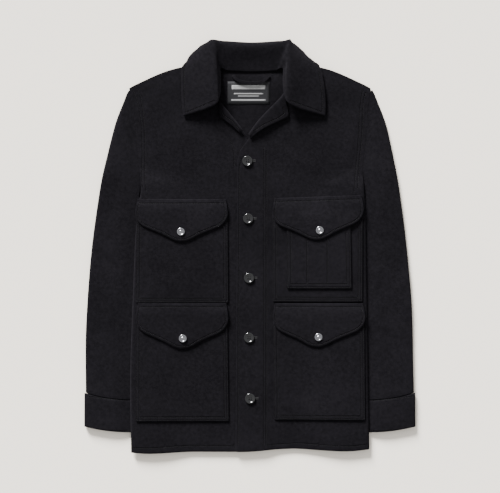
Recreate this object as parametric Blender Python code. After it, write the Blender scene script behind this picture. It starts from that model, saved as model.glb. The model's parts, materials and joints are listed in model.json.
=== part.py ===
"""Mackinaw jacket of heavy wool, laid flat on its back.

Sizes below are in millimetres. +X is the wearer's left, +Y runs from hem to collar and +Z is up.
Every piece of cloth is a sheet: rows of points on the middle of its wall, given that wall by Solidify.
The back lies on the floor, the sleeves are tucked under its sides, and each further layer lies a pitch higher.
"""
import math

import bmesh
import bpy
import numpy as np

MM = 0.001
WOOL = 2.4
LAYER_GAP = 0.5
PITCH = WOOL + LAYER_GAP
SEAM = 0.35
COLLAR_WALL = 3.2

HEM_Y = -391.0
TUCK_HEIGHT = 5.8
TUCK_RAMP = 90.0
NECK_HEIGHT = 4.3
EDGE_ROLL = 3.4
ROLL_RADIUS = 3.0
SLEEVE_FULL = 6.2
BUTTON_RADIUS = 10.0
SNAP_RADIUS = 7.6
COLLAR_CENTRE_X = 4.0

RIGHT = -1
LEFT = 1

# Side outline of the body, armhole included: height up the jacket, wearer's right edge, wearer's left edge.
BODY_SIDES = (
    (300.0, -230.0, 231.0),
    (262.0, -221.0, 225.2),
    (235.0, -218.0, 224.0),
    (202.0, -215.5, 220.9),
    (174.0, -212.6, 217.3),
    (143.0, -210.3, 214.4),
    (124.0, -207.3, 215.0),
    (103.0, -206.6, 217.0),
    (70.0, -211.6, 219.0),
    (38.0, -216.4, 220.0),
    (-235.0, -227.1, 224.0),
    (-368.0, -225.5, 225.9),
    (HEM_Y, -225.2, 226.3),
)

# Shoulder and back neckline: distance out from the centre line, height.
SHOULDER = (
    (230.5, 300.0),
    (221.0, 306.0),
    (199.5, 315.6),
    (171.0, 328.9),
    (142.5, 338.4),
    (104.0, 345.0),
    (66.0, 347.0),
    (58.0, 336.0),
    (45.0, 331.0),
    (20.0, 329.0),
    (0.0, 328.6),
)
SHOULDER_END = 6

# Inner edge of each front, from the neck down the gorge, the roll line and the closing edge.
RIGHT_INNER = (
    (347.0, -62.0),
    (335.0, -58.0),
    (320.0, -56.5),
    (300.0, -57.0),
    (277.6, -58.7),
    (262.0, -48.0),
    (209.2, -3.6),
    (180.0, 19.0),
    (165.0, 26.8),
    (150.0, 28.0),
    (HEM_Y, 28.0),
)
LEFT_INNER = (
    (347.0, 70.0),
    (335.0, 66.5),
    (320.0, 66.0),
    (305.0, 67.5),
    (289.0, 62.9),
    (277.6, 53.4),
    (262.4, 38.2),
    (249.1, 24.9),
    (233.9, 11.6),
    (218.7, 0.2),
    (199.7, -11.2),
    (186.4, -18.8),
    (173.1, -23.2),
    (155.0, -25.4),
    (87.6, -24.5),
    (HEM_Y, -28.0),
)

# Sleeve sections. Columns: outer height, outer distance from the centre line on the wearer's right and left,
# inner height, width tucked under the body.
SLEEVE_ROWS = (
    (293.0, 231.8, 234.5, 287.0, 0.0),
    (278.0, 239.2, 242.2, 271.0, 0.0),
    (259.0, 246.8, 249.9, 250.0, 0.0),
    (236.0, 255.8, 258.6, 226.0, 0.0),
    (208.0, 262.9, 265.6, 197.0, 0.0),
    (180.0, 270.2, 271.4, 168.0, 0.0),
    (152.0, 277.2, 277.0, 140.0, 0.0),
    (126.0, 283.0, 282.2, 116.0, 0.0),
    (100.0, 287.2, 286.0, 92.0, 14.0),
    (74.0, 291.2, 289.4, 68.0, 36.0),
    (44.0, 295.4, 293.6, 40.0, 54.0),
    (10.0, 300.0, 297.6, 8.0, 66.0),
    (-45.0, 305.6, 303.0, -46.0, 72.0),
    (-102.0, 309.6, 308.3, -103.0, 68.0),
    (-159.0, 313.0, 310.4, -161.0, 60.0),
    (-216.0, 313.4, 310.8, -222.0, 49.0),
    (-278.4, 312.6, 312.6, -293.4, 38.0),
)

# The cuff band, in the same columns.
CUFF_ROWS = (
    (-279.1, 315.2, 315.0, -294.1, 38.0),
    (-310.0, 315.6, 315.2, -324.0, 37.0),
    (-342.6, 315.6, 315.6, -354.8, 36.0),
)
SECTION_CURVE = 3.2

# Hem line. Columns: x, y.
HEM = (
    (-225.0, -392.7),
    (-207.0, -394.6),
    (-188.0, -395.2),
    (-145.0, -392.8),
    (-120.0, -391.2),
    (0.0, -391.5),
    (22.0, -389.4),
    (55.0, -386.0),
    (90.0, -385.2),
    (135.0, -388.4),
    (188.0, -391.0),
    (226.0, -386.4),
)

# Lapel ends of the facings, from the gorge down: roll line x, y, then outer edge x, y and its lift.
FACING_RIGHT = (
    (-58.7, 277.6, -57.8, 246.5, 1.0),
    (-45.0, 260.0, -46.0, 237.5, 1.5),
    (-30.0, 241.9, -33.0, 229.0, 1.5),
    (-13.0, 220.8, -18.5, 214.0, 0.8),
)
FACING_LEFT = (
    (65.5, 293.0, 71.0, 262.0, 0.4),
    (60.5, 285.5, 74.3, 245.3, 1.6),
    (53.4, 277.6, 57.2, 237.7, 2.8),
    (38.2, 262.4, 40.0, 229.8, 3.2),
    (24.9, 249.1, 25.0, 222.4, 3.2),
    (11.6, 233.9, 12.0, 213.6, 2.6),
    (-3.0, 213.4, 1.5, 204.4, 1.2),
)

# Collar stations on the wearer's right half, from the front end to the centre back.
# Columns: neck seam, stand, roll line, top of the leaf, where it turns down, outer edge. The last column is
# how much nearer to the neck the leaf lies on the wearer's left.
COLLAR_STATIONS = (
    ((-56.5, 287.0, 21.5), (-59.0, 278.0, 23.5), (-62.5, 269.0, 25.0), (-80.0, 260.5, 20.0), (-104.0, 253.0, 14.5),
     (-126.0, 247.0, 9.5), 0.0),
    ((-56.0, 300.0, 18.5), (-59.5, 298.0, 23.0), (-63.5, 292.0, 26.0), (-83.0, 284.5, 20.5), (-107.0, 277.0, 15.0),
     (-129.0, 269.0, 10.5), 0.0),
    ((-55.5, 316.0, 15.0), (-59.5, 316.0, 21.0), (-64.5, 314.0, 26.0), (-85.0, 309.0, 21.0), (-109.0, 303.5, 16.0),
     (-130.0, 298.0, 12.0), 0.0),
    ((-56.5, 329.0, 13.5), (-61.0, 332.0, 20.0), (-65.5, 336.0, 25.5), (-87.0, 334.0, 21.0), (-110.0, 331.0, 16.5),
     (-130.0, 327.0, 13.0), 2.0),
    ((-56.5, 337.0, 12.5), (-62.5, 346.0, 19.0), (-67.5, 358.0, 24.5), (-90.0, 353.0, 20.0), (-113.0, 348.5, 15.0),
     (-130.5, 341.0, 8.0), 5.0),
    ((-52.5, 337.5, 10.5), (-60.0, 354.0, 17.0), (-68.5, 376.0, 23.0), (-92.0, 372.5, 18.0), (-115.5, 363.0, 9.0),
     (-115.0, 346.0, 2.2), 16.0),
    ((-46.0, 334.6, 8.0), (-54.0, 356.0, 13.0), (-67.0, 388.0, 20.0), (-80.0, 386.5, 15.0), (-87.0, 380.0, 6.0),
     (-86.0, 348.0, 2.2), 9.0),
    ((-36.0, 333.0, 7.0), (-40.0, 354.0, 11.0), (-46.0, 381.0, 16.5), (-50.0, 388.0, 12.0), (-50.0, 384.0, 5.0),
     (-48.0, 342.0, 2.2), 0.0),
    ((4.0, 331.4, 6.8), (4.0, 353.0, 10.0), (4.0, 377.0, 15.0), (4.0, 384.4, 11.0), (4.0, 380.0, 4.6),
     (4.0, 340.0, 2.2), 0.0),
)

# Patch pockets. Columns: wearer's side, top x, x, y, then bottom x, x, y.
POCKETS = {
    "upper_pocket_right": (RIGHT, -214.5, -42.5, 66.0, -216.5, -41.0, -107.5),
    "upper_pocket_left": (LEFT, 43.0, 214.0, 68.0, 43.5, 213.5, -105.5),
    "lower_pocket_right": (RIGHT, -216.0, -43.0, -133.0, -216.5, -40.0, -332.5),
    "lower_pocket_left": (LEFT, 44.5, 217.0, -133.0, 46.0, 218.5, -330.0),
}
PENCIL_POCKET = (LEFT, 69.9, 190.5, 42.0, 70.5, 192.7, -80.4)

# Flaps. Columns: wearer's side, x of the point, half widths to its left and right, top y at each end, depth.
FLAPS = {
    "upper_flap_right": (RIGHT, -129.8, 88.0, 88.6, 89.1, 89.1, 81.0),
    "upper_flap_left": (LEFT, 126.7, 84.3, 89.7, 91.0, 96.7, 82.5),
    "lower_flap_right": (RIGHT, -127.3, 90.0, 87.0, -108.6, -108.6, 87.0),
    "lower_flap_left": (LEFT, 126.4, 83.5, 93.0, -108.6, -108.6, 83.2),
}
# Bracket edge of a flap. Columns: share of the half width, share of the depth.
FLAP_EDGE = (
    (0.0, 1.0),
    (0.12, 0.985),
    (0.25, 0.92),
    (0.40, 0.83),
    (0.65, 0.72),
    (0.80, 0.655),
    (0.90, 0.58),
    (0.97, 0.47),
    (1.0, 0.34),
)
FLAP_TOP_SHARE = 0.95

BUTTONS = ((-4.8, 161.9), (-3.4, 52.3), (-1.7, -60.6), (-1.7, -174.0), (0.4, -289.6))
SNAPS = {
    "upper_snap_right": (-130.9, 27.4),
    "upper_snap_left": (132.2, 30.0),
    "lower_snap_right": (-127.3, -175.0),
    "lower_snap_left": (130.0, -172.5),
}
LOOP_PATH = ((-32.0, 324.5), (-26.0, 316.5), (-10.0, 310.8), (9.7, 309.5), (26.0, 313.0), (37.0, 324.5))
LABEL_SIZE = (80.0, 45.0)
LABEL_CENTRE = (-2.5, 291.5)


def ease(start, end, value):
    """Smooth step: 0 at start, 1 at end."""
    t = np.clip((value - start) / (end - start), 0.0, 1.0)
    return t * t * (3.0 - 2.0 * t)


def through(points, count):
    """Sample a smooth curve that passes through the given points, count steps to each stretch."""
    p = [np.array(q, float) for q in points]
    p = [2 * p[0] - p[1]] + p + [2 * p[-1] - p[-2]]
    out = []
    for a, b, c, d in zip(p, p[1:], p[2:], p[3:]):
        for step in range(count):
            t = step / count
            out.append(0.5 * (2 * b + (c - a) * t + (2 * a - 5 * b + 4 * c - d) * t * t
                              + (3 * b - a - 3 * c + d) * t ** 3))
    out.append(p[-2])
    return out


def side_x(y, side):
    """Signed x of the body's side outline at a height."""
    column = 1 if side == RIGHT else 2
    rows = BODY_SIDES[::-1]
    return float(np.interp(y, [r[0] for r in rows], [r[column] for r in rows]))


def tuck_width(y):
    """How far a sleeve reaches under the body at a height."""
    rows = SLEEVE_ROWS[::-1]
    return float(np.interp(y, [r[3] for r in rows], [r[4] for r in rows]))


def base(x, y):
    """Height of the back panel's underside over the floor."""
    side = LEFT if x > 0 else RIGHT
    inside = abs(side_x(y, side)) - abs(x)
    plateau = tuck_width(y) + 4.0
    tuck = (1.0 - ease(plateau, plateau + TUCK_RAMP, inside)) * ease(140.0, 114.0, y)
    neck = ease(215.0, 160.0, abs(x)) * ease(255.0, 318.0, y)
    corner = 1.0 - 0.25 * ease(-340.0, HEM_Y, y)
    return max(TUCK_HEIGHT * tuck * corner, NECK_HEIGHT * neck)


def back_mid(x, y):
    return base(x, y) + WOOL / 2


def loft(x, y):
    """Soft fullness of the fronts, with the shallow hollows between sleeve, chest and placket."""
    side = LEFT if x > 0 else RIGHT
    inside = abs(side_x(y, side)) - abs(x)
    full = 1.0 * ease(0.0, 40.0, inside) + 0.5 * math.sin(x / 47.0 + y / 90.0) * math.sin(y / 71.0)
    return max(0.2, full)


def roll_lift(y, near):
    """Lift of a front towards its roll line."""
    return 2.0 * ease(170.0, 230.0, y) * ease(46.0, 0.0, near)


def front_right_mid(x, y):
    near = edge_x(RIGHT_INNER, y) - x
    return back_mid(x, y) + PITCH + loft(x, y) + roll_lift(y, near)


def front_left_mid(x, y):
    near = x - edge_x(LEFT_INNER, y)
    lapped = PITCH * ease(42.5, 30.0, x) * ease(256.0, 216.0, y)
    return back_mid(x, y) + PITCH + loft(x, y) + lapped + roll_lift(y, near)


def edge_x(table, y):
    rows = table[::-1]
    return float(np.interp(y, [r[0] for r in rows], [r[1] for r in rows]))


def make_material(name, colour, roughness, metallic=0.0):
    material = bpy.data.materials.new(name)
    material.use_nodes = True
    shader = material.node_tree.nodes["Principled BSDF"]
    shader.inputs["Base Color"].default_value = (*colour, 1.0)
    shader.inputs["Roughness"].default_value = roughness
    shader.inputs["Metallic"].default_value = metallic
    return material


def add_mesh(name, mesh_data, material):
    """Put a bmesh, in millimetres, into the scene in metres."""
    bmesh.ops.scale(mesh_data, vec=(MM, MM, MM), verts=mesh_data.verts)
    mesh = bpy.data.meshes.new(name)
    mesh_data.to_mesh(mesh)
    mesh_data.free()
    mesh.materials.append(material)
    thing = bpy.data.objects.new(name, mesh)
    bpy.context.scene.collection.objects.link(thing)
    mesh.shade_smooth()
    mesh.set_sharp_from_angle(angle=math.radians(40.0))
    return thing


def sheet(name, rows, material, wall=WOOL, ring=False):
    """A cloth sheet through rows of middle points, given its wall by Solidify."""
    data = bmesh.new()
    grid = [[data.verts.new(tuple(p)) for p in row] for row in rows]
    lines = list(zip(grid, grid[1:]))
    if ring:
        lines.append((grid[-1], grid[0]))
    for low, high in lines:
        for a, b, c, d in zip(low, low[1:], high[1:], high):
            data.faces.new((a, b, c, d))
    thing = add_mesh(name, data, material)
    solid = thing.modifiers.new("Wall", "SOLIDIFY")
    solid.thickness = wall * MM
    solid.offset = 0.0
    solid.use_even_offset = True
    return thing


def spaced(start, end, count):
    return [start + (end - start) * k / count for k in range(count + 1)]


def panel_columns(left_x, right_x, fine_left, fine_right, coarse):
    """Places across a row: given small steps in from each end, then about even ones."""
    first = [left_x + d for d in fine_left]
    last = [right_x - d for d in reversed(fine_right)]
    count = coarse + 1
    middle = spaced(first[-1], last[0], count)[1:-1]
    return first + middle + last


def make_back(material):
    """Back panel, hem to shoulders; its upper rows bend up to the shoulder and neckline."""
    steps = (0.0, 8.0, 27.0, 48.0, 70.0, 92.0, 114.0, 136.0, 160.0, 169.0, 183.0)
    heights = spaced(HEM_Y, 60.0, 10) + [85.0, 102.0, 118.0, 134.0, 160.0, 200.0, 232.0, 256.0, 278.0]
    rows = []
    for y in heights:
        inset = 3.4 * ease(138.0, 116.0, y) + 0.2
        xs = panel_columns(side_x(y, RIGHT) + inset, side_x(y, LEFT) - inset, steps, steps, 1)
        rows.append([(x, hem_y(x) if y == HEM_Y else y, back_mid(x, y)) for x in xs])
    low = rows[-1]
    top = shoulder_line(low)
    for share in (0.33, 0.66, 1.0):
        row = []
        for (x0, y0, _), (x1, y1) in zip(low, top):
            x = x0 + (x1 - x0) * share
            y = y0 + (y1 - y0) * share
            row.append((x, y, back_mid(x, y)))
        rows.append(row)
    return sheet("back", rows, material)


def shoulder_line(row):
    """The shoulder and neckline points that the back's columns rise to."""
    table = SHOULDER[::-1]
    reach = [p[0] for p in table]
    heights = [p[1] for p in table]
    out = []
    for x, _, _ in row:
        edge = abs(row[0][0]) if x < 0 else row[-1][0]
        away = abs(x) * (SHOULDER[0][0] - 0.6) / edge
        out.append((math.copysign(away, x), float(np.interp(away, reach, heights))))
    return out


def make_front(name, side, inner, height, shares, material):
    """A front panel: rolled round the side seam, flat at the armhole, cut to its inner edge."""
    steps = (0.0, 0.7, 2.0, EDGE_ROLL, 8.0, 27.0, 48.0, 70.0, 92.0, 114.0, 136.0)
    heights = spaced(HEM_Y, 60.0, 10) + [85.0, 102.0, 118.0, 134.0, 150.0, 166.0, 182.0, 200.0, 216.0, 232.0,
                                         248.0, 264.0, 278.0]
    rows = []
    for y in heights:
        outer = side_x(y, side) - side * 0.2
        inside = edge_x(inner, y) + side * inner_setback(y)
        row = []
        reach = abs(outer - inside)
        rest = reach - steps[-1]
        for d in list(steps) + [steps[-1] + rest * share for share in shares]:
            x = outer - side * d
            row.append((x, hem_y(x) if y == HEM_Y else y, height(x, y) - edge_drop(d, y)))
        rows.append(row)
    low = rows[-1]
    for share in (0.17, 0.33, 0.55, 0.78, 1.0):
        rows.append(shoulder_row(side, inner, height, low, share))
    return sheet(name, rows, material)


def hem_y(x):
    """Height of the hem line at a place across the jacket."""
    return float(np.interp(x, [p[0] for p in HEM], [p[1] for p in HEM]))


def inner_setback(y):
    """Room left along the roll line for the facing's turn."""
    turn = (ROLL_RADIUS + WOOL / 2 + SEAM) / 0.74
    return SEAM + turn * ease(186.0, 202.0, y) * ease(314.0, 301.0, y)


def edge_drop(d, y):
    """Fall of the front's side edge as it rolls round to the back."""
    if d >= EDGE_ROLL:
        return 0.0
    rolled = ease(118.0, 94.0, y)
    return rolled * (EDGE_ROLL - math.sqrt(EDGE_ROLL ** 2 - (EDGE_ROLL - d) ** 2))


def shoulder_row(side, inner, height, low, share):
    """A row part way from the last straight row of a front to its shoulder seam."""
    table = SHOULDER[:SHOULDER_END + 1][::-1]
    reach = [p[0] for p in table]
    heights = [p[1] for p in table]
    outer = abs(low[0][0])
    inside = abs(low[-1][0])
    near = abs(inner[0][1]) + SEAM
    spots = []
    for x0, y0, _ in low:
        across = (abs(x0) - inside) / (outer - inside)
        away = near + (SHOULDER[0][0] - 0.6 - near) * across
        y1 = float(np.interp(away, reach, heights)) - 0.4
        spots.append((across, x0 + (side * away - x0) * share, y0 + (y1 - y0) * share))
    _, last_x, last_y = spots[-1]
    pull = edge_x(inner, last_y) + side * inner_setback(last_y) - last_x
    row = []
    for across, x, y in spots:
        x += pull * max(0.0, 1.0 - 3.0 * across)
        row.append((x, y, height(x, y)))
    return row


def sleeve_section(side, row, proud, stand):
    """One section of a sleeve or cuff, from its lower inner edge round the outer fold to its upper inner edge."""
    outer_y, outer_x, inner_y, tuck = row[0], row[1] if side == RIGHT else row[2], row[3], row[4]
    body_x = abs(side_x(inner_y, side))
    inner_x = body_x + SEAM if tuck == 0.0 else body_x - tuck
    wide = outer_x - inner_x
    full = min(SLEEVE_FULL, 3.4 + 0.11 * max(0.0, wide - 10.0)) + proud
    radius = full / 2
    fold_x = outer_x - WOOL / 2 - radius
    lower = WOOL / 2
    flat = min(PITCH, full)
    points = [(x, lower) for x in spaced(inner_x, fold_x, 4)]
    for k in range(1, 4):
        angle = math.pi * (k / 4 - 0.5)
        points.append((fold_x + radius * math.cos(angle), lower + radius + radius * math.sin(angle)))
    shown = max(inner_x, body_x) + (3.0 if tuck else 0.0)
    for share in (0.0, 0.3, 0.6, 0.82, 1.0):
        x = fold_x + (shown - fold_x) * share
        rise = ease(shown, shown + 22.0, x)
        points.append((x, lower + flat + stand * (tuck == 0.0) + (full - flat) * rise))
    if tuck:
        points += [(x, lower + flat) for x in spaced(shown, inner_x, 2)[1:]]
    out = []
    for x, z in points:
        share = (outer_x - x) / wide
        slope = 1.0 - (1.0 - min(1.0, max(0.0, share))) ** SECTION_CURVE
        out.append((side * x, outer_y + (inner_y - outer_y) * slope, z))
    return out


def make_sleeve(name, side, rows, material, proud=0.0, stand=0.0):
    """A tube of cloth, open at its ends and parted at its inner seam."""
    return sheet(name, [sleeve_section(side, row, proud, stand) for row in rows], material)


def collar_height(side, x, y):
    """Lowest middle height at which the leaf still clears the front that it lies on."""
    height = front_right_mid if side == RIGHT else front_left_mid
    return height(x, y) + WOOL / 2 + LAYER_GAP + COLLAR_WALL / 2 + 0.3


def mirrored_station(station):
    """The wearer's left half: mirrored about the neck's centre, its point a little further out."""
    *points, trim = station
    out = []
    for column, (x, y, z) in enumerate(points):
        skew = 0.1 * max(0.0, 342.0 - y) * (column / 5)
        nearer = trim if column > 2 else trim * 0.2
        out.append((2 * COLLAR_CENTRE_X - x + skew - nearer, y, z))
    return out


def make_collar(material):
    """Stand and leaf in one sheet, lying on the fronts and folded under at the back of the neck."""
    right = [[np.array(p, float) for p in station[:-1]] for station in COLLAR_STATIONS]
    left = [[np.array(p, float) for p in mirrored_station(station)] for station in COLLAR_STATIONS[-2::-1]]
    stations = right + left
    columns = [through([station[k] for station in stations], 2) for k in range(6)]
    rows = []
    for points in zip(*columns):
        path = through(points, 3)
        row = []
        for k, p in enumerate(path):
            side = RIGHT if p[0] < COLLAR_CENTRE_X else LEFT
            z = p[2]
            if k > 8 and points[5][2] > 4.0:
                z = max(z, collar_height(side, p[0], p[1]))
            row.append((p[0], p[1], z))
        rows.append(row)
    return sheet("collar", rows, material, wall=COLLAR_WALL)


def make_facing(name, table, height, material):
    """Lapel: from the front's edge round the roll line and back over the front."""
    rows = []
    for roll_x, roll_y, edge_x_, edge_y, lift in table:
        roll = np.array((roll_x, roll_y))
        edge = np.array((edge_x_, edge_y))
        wide = np.linalg.norm(edge - roll)
        along = (edge - roll) / wide
        turn = WOOL / 2 + ROLL_RADIUS
        centre = roll + along * turn
        low = height(centre[0], centre[1])
        row = [(centre[0], centre[1], low)]
        for k in range(1, 4):
            angle = math.pi * (0.5 + k / 4)
            spot = centre + along * ROLL_RADIUS * math.cos(angle)
            row.append((spot[0], spot[1], low + ROLL_RADIUS * (1 - math.sin(angle))))
        far = height(edge[0], edge[1]) + PITCH + lift
        for share in (0.0, 0.33, 0.67, 1.0):
            spot = centre + (edge - centre) * share
            level = low + 2 * ROLL_RADIUS + (far - low - 2 * ROLL_RADIUS) * ease(0.0, 1.0, share)
            row.append((spot[0], spot[1], level))
        rows.append(row)
    return sheet(name, rows, material)


def panel_height(side):
    return front_right_mid if side == RIGHT else front_left_mid


def make_pocket(name, layout, level, material, columns=9, lines=7):
    """Patch pocket: made from the front's own height, moved out by its level."""
    side, top_0, top_1, top_y, low_0, low_1, low_y = layout
    height = panel_height(side)
    rows = []
    for y in spaced(top_y, low_y, lines):
        share = (top_y - y) / (top_y - low_y)
        first = top_0 + (low_0 - top_0) * share
        last = top_1 + (low_1 - top_1) * share
        rows.append([(x, y, height(x, y) + PITCH * level) for x in spaced(first, last, columns)])
    return sheet(name, rows, material)


def flap_level(name, x, y, top_y):
    """Layers under a flap: the front at its sewn top, then the pocket, then the pencil pocket."""
    level = 1.0 + ease(top_y - 5.0, top_y - 15.0, y)
    if name == "upper_flap_left":
        within = ease(52.0, 64.0, x) * ease(212.0, 200.0, x)
        level += within * ease(68.0, 52.0, y)
    return level


def make_flap(name, layout, material):
    """Bracket-shaped flap: columns run down from its top seam to the shaped edge."""
    side, centre, half_left, half_right, top_left, top_right, depth = layout
    height = panel_height(side)
    shares = [-s for s, _ in reversed(FLAP_EDGE)] + [s for s, _ in FLAP_EDGE[1:]]
    depths = [d for _, d in reversed(FLAP_EDGE)] + [d for _, d in FLAP_EDGE[1:]]
    rows = []
    for part in (0.0, 0.14, 0.28, 0.5, 0.75, 1.0):
        row = []
        for share, reach in zip(shares, depths):
            half = half_left if share < 0 else half_right
            widen = FLAP_TOP_SHARE + (1 - FLAP_TOP_SHARE) * min(1.0, part * reach / FLAP_EDGE[-1][1])
            x = centre + share * half * widen
            top = top_left + (top_right - top_left) * (share + 1) / 2
            y = top - depth * reach * part
            row.append((x, y, height(x, y) + PITCH * flap_level(name, x, y, top)))
        rows.append(row)
    return sheet(name, rows, material)


def turned(name, profile, segments, place, material):
    """A lathed piece: profile points are radius and height."""
    data = bmesh.new()
    rings = []
    for radius, height in profile:
        ring = []
        for k in range(segments):
            angle = 2 * math.pi * k / segments
            ring.append(data.verts.new((place[0] + radius * math.cos(angle),
                                        place[1] + radius * math.sin(angle), place[2] + height)))
        rings.append(ring)
    for low, high in zip(rings, rings[1:]):
        for k in range(segments):
            n = (k + 1) % segments
            data.faces.new((low[k], low[n], high[n], high[k]))
    data.faces.new(rings[0][::-1])
    data.faces.new(rings[-1])
    bmesh.ops.recalc_face_normals(data, faces=data.faces)
    return add_mesh(name, data, material)


def seat_height(height, x, y, radius, level):
    """Height of the top of the cloth under a round piece."""
    spots = [(x, y)] + [(x + radius * math.cos(a), y + radius * math.sin(a)) for a in np.linspace(0, 6.2, 9)]
    return max(height(*spot) for spot in spots) + PITCH * level + WOOL / 2 + SEAM


BUTTON_PROFILE = ((7.2, 0.0), (9.3, 0.5), (10.0, 1.6), (9.6, 2.9), (8.4, 3.3), (7.2, 2.9), (6.4, 2.2), (2.0, 2.0))
SNAP_PROFILE = ((6.8, 0.0), (7.6, 0.5), (7.4, 1.6), (6.2, 2.3), (5.0, 1.9), (3.6, 1.3), (1.5, 1.2))


def make_loop(material):
    """Hanger loop: a narrow strap on the inside of the back, sewn at its ends."""
    path = through([(x, y, 0.0) for x, y in LOOP_PATH], 2)
    rows = []
    for k, p in enumerate(path):
        nearby = path[min(k + 1, len(path) - 1)] - path[max(k - 1, 0)]
        across = np.array((-nearby[1], nearby[0])) / math.hypot(nearby[0], nearby[1])
        rise = 1.1 * math.sin(math.pi * k / (len(path) - 1))
        row = []
        for half in (-3.0, 0.0, 3.0):
            x, y = p[0] + across[0] * half, p[1] + across[1] * half
            row.append((x, y, back_mid(x, y) + WOOL / 2 + 1.0 + LAYER_GAP + 0.9 * min(1.0, rise * 2) + rise))
        rows.append(row)
    return sheet("hanger_loop", rows, material, wall=1.8)


def make_label(material):
    """Neck label, a woven rectangle sewn inside the back."""
    wide, tall = LABEL_SIZE
    x0, y0 = LABEL_CENTRE
    rows = []
    for y in spaced(y0 - tall / 2, y0 + tall / 2, 3):
        row = [(x, y, back_mid(x, y) + WOOL / 2 + 0.85) for x in spaced(x0 - wide / 2, x0 + wide / 2, 3)]
        rows.append(row)
    return sheet("neck_label", rows, material, wall=0.8)


def main():
    for thing in list(bpy.data.objects):
        bpy.data.objects.remove(thing, do_unlink=True)
    wool = make_material("wool", (0.0112, 0.0104, 0.0122), 0.95)
    plastic = make_material("button_black", (0.006, 0.006, 0.007), 0.18)
    nickel = make_material("dark_nickel", (0.30, 0.30, 0.32), 0.22, 1.0)
    tape = make_material("label_cloth", (0.03, 0.03, 0.034), 0.85)
    make_back(wool)
    make_front("front_right", RIGHT, RIGHT_INNER, front_right_mid, (0.22, 0.45, 0.7, 1.0), wool)
    make_front("front_left", LEFT, LEFT_INNER, front_left_mid, (0.18, 0.37, 0.5, 0.75, 1.0), wool)
    for side, end in ((RIGHT, "right"), (LEFT, "left")):
        make_sleeve("sleeve_" + end, side, SLEEVE_ROWS, wool)
        make_sleeve("cuff_" + end, side, CUFF_ROWS, wool, proud=0.9)
    make_collar(wool)
    make_facing("facing_right", FACING_RIGHT, front_right_mid, wool)
    make_facing("facing_left", FACING_LEFT, front_left_mid, wool)
    for name, layout in POCKETS.items():
        make_pocket(name, layout, 1, wool)
    make_pocket("pencil_pocket", PENCIL_POCKET, 2, wool, columns=6, lines=6)
    for name, layout in FLAPS.items():
        make_flap(name, layout, wool)
    for k, (x, y) in enumerate(BUTTONS, 1):
        z = seat_height(front_left_mid, x, y, BUTTON_RADIUS, 0)
        turned("button_%d" % k, BUTTON_PROFILE, 20, (x, y, z), plastic)
    for name, (x, y) in SNAPS.items():
        side = LEFT if name.endswith("left") else RIGHT
        level = 3 if name == "upper_snap_left" else 2
        z = seat_height(panel_height(side), x, y, SNAP_RADIUS, level)
        turned(name, SNAP_PROFILE, 16, (x, y, z), nickel)
    make_loop(wool)
    make_label(tape)


main()
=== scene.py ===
"""Mackinaw jacket of napped black wool, laid flat on its back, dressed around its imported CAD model.

Tables below are in millimetres on the jacket's own plan: +X is the wearer's left, +Y runs from hem to collar.
Properties and meshes are in metres. Every piece of cloth starts as a copy of its CAD solid, is subdivided,
and is then bent by moving its vertices.
"""
import json
import math

import bmesh
import bpy
import numpy as np
from bpy.props import FloatProperty, FloatVectorProperty, IntProperty, PointerProperty
from mathutils import Matrix, Vector
from mathutils.bvhtree import BVHTree

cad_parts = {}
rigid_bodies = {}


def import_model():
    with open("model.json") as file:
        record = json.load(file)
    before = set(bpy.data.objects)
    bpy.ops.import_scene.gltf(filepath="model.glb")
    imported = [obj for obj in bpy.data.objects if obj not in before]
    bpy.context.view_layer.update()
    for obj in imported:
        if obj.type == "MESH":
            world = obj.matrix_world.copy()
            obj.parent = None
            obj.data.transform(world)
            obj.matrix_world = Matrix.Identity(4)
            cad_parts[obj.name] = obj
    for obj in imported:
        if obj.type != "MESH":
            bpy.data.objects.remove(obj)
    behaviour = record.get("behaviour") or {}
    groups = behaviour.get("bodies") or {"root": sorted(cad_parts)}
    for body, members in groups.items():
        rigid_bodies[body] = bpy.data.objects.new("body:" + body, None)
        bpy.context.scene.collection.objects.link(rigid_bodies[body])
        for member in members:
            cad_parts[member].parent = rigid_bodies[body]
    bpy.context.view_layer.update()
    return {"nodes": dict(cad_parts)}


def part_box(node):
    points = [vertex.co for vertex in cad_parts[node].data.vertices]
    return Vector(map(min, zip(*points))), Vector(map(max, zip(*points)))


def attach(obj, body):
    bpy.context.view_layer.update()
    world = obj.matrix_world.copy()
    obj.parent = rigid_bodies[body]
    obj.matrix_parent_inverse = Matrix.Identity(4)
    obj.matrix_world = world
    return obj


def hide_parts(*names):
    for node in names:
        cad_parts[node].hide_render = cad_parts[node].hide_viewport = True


bl_info = {
    "name": "Mackinaw Jacket",
    "version": (1, 0, 0),
    "blender": (4, 5, 0),
    "location": "3D View > Sidebar > Jacket",
    "description": "Dresses the packed jacket with wool, stitching, buttons and snaps",
    "category": "Object",
}

for leftover in list(bpy.data.objects):
    bpy.data.objects.remove(leftover, do_unlink=True)
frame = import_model()

MM = 0.001
MERGE = 0.00001
RIM_ANGLE = math.radians(50.0)
JOIN_ANGLE = math.radians(40.0)
FAR = 5000.0
ABOVE = 0.2
NO_SEAM = 0.03

# Where the collar's leaf turns under beside the shoulder: past this reach from its centre, above its height.
TURN_CENTRE = Vector((0.004, 0.328, 0.0))
TURN_REACH = 0.100
TURN_PASSES = 24

ROOT = "root"

# Places of the buttons, up the closing edge, and of the snap caps on the flaps: x, y.
BUTTONS = {
    "button_1": (-4.8, 161.9),
    "button_2": (-3.4, 52.3),
    "button_3": (-1.7, -60.6),
    "button_4": (-1.7, -174.0),
    "button_5": (0.4, -289.6),
}
SNAPS = {
    "upper_snap_right": (-130.9, 27.4, "upper_flap_right"),
    "upper_snap_left": (132.2, 30.0, "upper_flap_left"),
    "lower_snap_right": (-127.3, -175.0, "lower_flap_right"),
    "lower_snap_left": (130.0, -172.5, "lower_flap_left"),
}

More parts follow.
